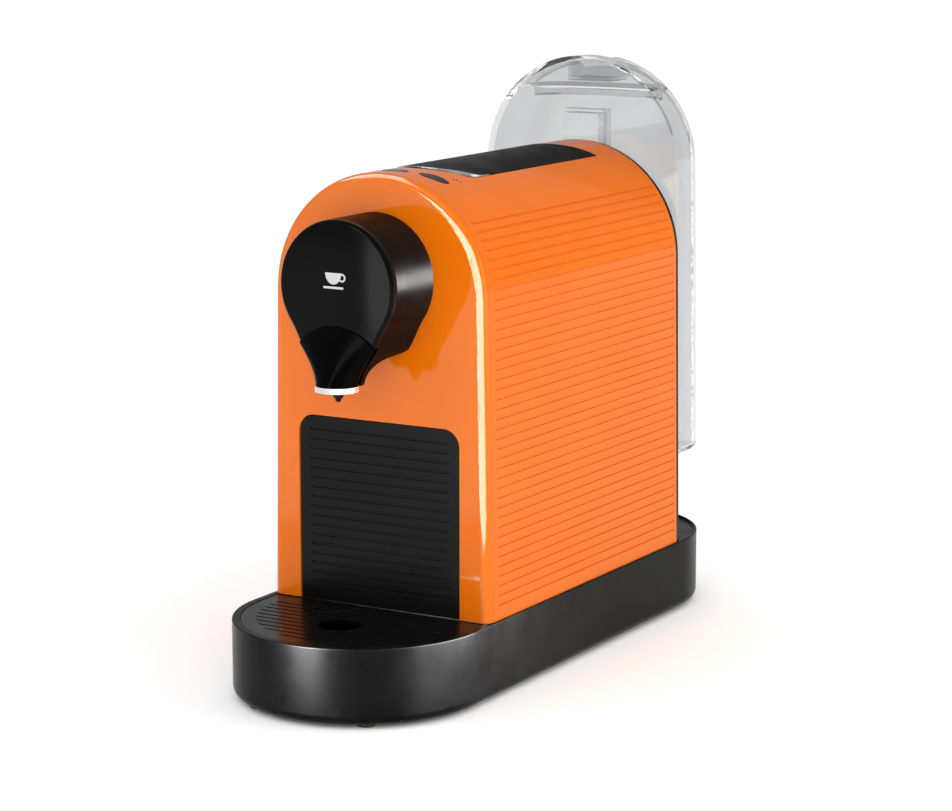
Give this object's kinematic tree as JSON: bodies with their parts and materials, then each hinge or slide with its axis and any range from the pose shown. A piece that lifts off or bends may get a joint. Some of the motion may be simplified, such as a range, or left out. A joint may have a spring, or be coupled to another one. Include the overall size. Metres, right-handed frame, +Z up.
{
  "type": "pod coffee machine",
  "caption": "Slim pod coffee machine with an orange arched body, black round brew head, ribbed capsule bin, long rounded base and clear rear water tank.",
  "frame": {"origin": "middle of the footprint, on the table under the feet", "axes": "+Z up, +Y from the brew head to the water tank, +X to the right seen from the front"},
  "size_m": [0.13, 0.359, 0.3043],
  "materials": {
    "orange_shell": "gloss",
    "black_gloss": "high gloss",
    "black_satin": "satin",
    "base_plastic": "satin gloss",
    "lever_plastic": "fine matt",
    "inner_plastic": "matt",
    "grey_plastic": "matt",
    "clear_plastic": "clear polished",
    "chrome": "polished",
    "steel": "brushed",
    "aluminium": "cast",
    "copper": "enamelled",
    "rubber": "matt",
    "silicone": "matt",
    "board": "satin",
    "components": "satin",
    "lens": "smoked"
  },
  "bodies": {
    "machine": {"base_plate": "inner_plastic", "feet": "rubber", "base_screws": "steel", "base_housing": "base_plastic", "cord_gland": "rubber", "front_frame": "orange_shell", "arch_shell": "orange_shell", "indicator_lens": "lens", "rear_cover": "black_satin", "cover_screws": "steel", "head_drum": "black_gloss", "head_cover": "black_gloss", "spout_cover": "black_gloss", "spout_ring": "chrome", "nozzle": "black_satin", "emblem": "chrome", "outlet_pipe": "steel", "chassis_frame": "inner_plastic", "brew_housing": "grey_plastic", "pierce_plate": "steel", "capsule_chute": "inner_plastic", "gear_bracket": "steel", "gear_pins": "steel", "top_frame": "inner_plastic", "switch_board": "board", "tank_dock": "black_satin", "dock_seal": "rubber", "flow_meter": "grey_plastic", "pump_body": "grey_plastic", "pump_coil": "copper", "pump_mounts": "rubber", "heater": "aluminium", "heater_clamps": "steel", "water_hoses": "silicone", "pressure_pipes": "silicone", "circuit_board": "board", "board_parts": "components"},
    "tray": {"drip_tray": "base_plastic", "capsule_bin": "inner_plastic", "bin_front": "black_satin"},
    "grid": {"drip_grid": "black_satin"},
    "lever": {"lever_panel": "lever_plastic", "lever_trim": "chrome", "lever_frame": "inner_plastic"},
    "idler": {"idler_gear": "grey_plastic"},
    "piston": {"brew_piston": "grey_plastic", "piston_gasket": "silicone", "piston_rack": "steel"},
    "left_button": {"button_left": "black_gloss"},
    "middle_button": {"button_middle": "black_gloss"},
    "right_button": {"button_right": "black_gloss"},
    "tank": {"tank_body": "clear_plastic", "valve_seat": "grey_plastic"},
    "lid": {"tank_lid": "clear_plastic"},
    "poppet": {"valve_poppet": "grey_plastic"},
    "rotor": {"flow_rotor": "grey_plastic"},
    "plunger": {"pump_plunger": "steel"}
  },
  "joints": [
    {"name": "tray_slide", "type": "slide", "parent": "machine", "child": "tray", "axis": [0, -1, 0], "range_m": [0, 0.09]},
    {"name": "grid_lift", "type": "slide", "parent": "tray", "child": "grid", "axis": [0, 0, 1], "range_m": [0, 0.03]},
    {"name": "lever_hinge", "type": "hinge", "parent": "machine", "child": "lever", "pos_m": [0, 0.072, 0.249], "axis": [-1, 0, 0], "range_deg": [0, 38]},
    {"name": "idler_turn", "type": "hinge", "parent": "machine", "child": "idler", "pos_m": [0, 0.072, 0.2129], "axis": [1, 0, 0], "range_deg": [0, 115]},
    {"name": "piston_slide", "type": "slide", "parent": "machine", "child": "piston", "axis": [0, 1, 0], "range_m": [0, 0.018]},
    {"name": "left_button_press", "type": "slide", "parent": "machine", "child": "left_button", "axis": [0, 0, -1], "range_m": [0, 0.0012], "stiffness_N_per_m": 500},
    {"name": "middle_button_press", "type": "slide", "parent": "machine", "child": "middle_button", "axis": [0, 0, -1], "range_m": [0, 0.0012], "stiffness_N_per_m": 500},
    {"name": "right_button_press", "type": "slide", "parent": "machine", "child": "right_button", "axis": [0, 0, -1], "range_m": [0, 0.0012], "stiffness_N_per_m": 500},
    {"name": "tank_lift", "type": "slide", "parent": "machine", "child": "tank", "axis": [0, 0, 1], "range_m": [0, 0.19]},
    {"name": "lid_lift", "type": "slide", "parent": "tank", "child": "lid", "axis": [0, 0, 1], "range_m": [0, 0.05]},
    {"name": "valve_lift", "type": "slide", "parent": "tank", "child": "poppet", "axis": [0, 0, 1], "range_m": [0, 0.0025], "stiffness_N_per_m": 150},
    {"name": "rotor_spin", "type": "hinge", "parent": "machine", "child": "rotor", "pos_m": [-0.025, 0.078, 0.061], "axis": [0, 0, 1], "continuous": true},
    {"name": "plunger_stroke", "type": "slide", "parent": "machine", "child": "plunger", "axis": [0, 0, 1], "range_m": [-0.003, 0.003], "stiffness_N_per_m": 2000}
  ],
  "couplings": [
    {"joint": "idler_turn", "follows": "lever_hinge", "ratio": 3.0111},
    {"joint": "piston_slide", "follows": "lever_hinge", "m_per_rad": 0.0271}
  ]
}
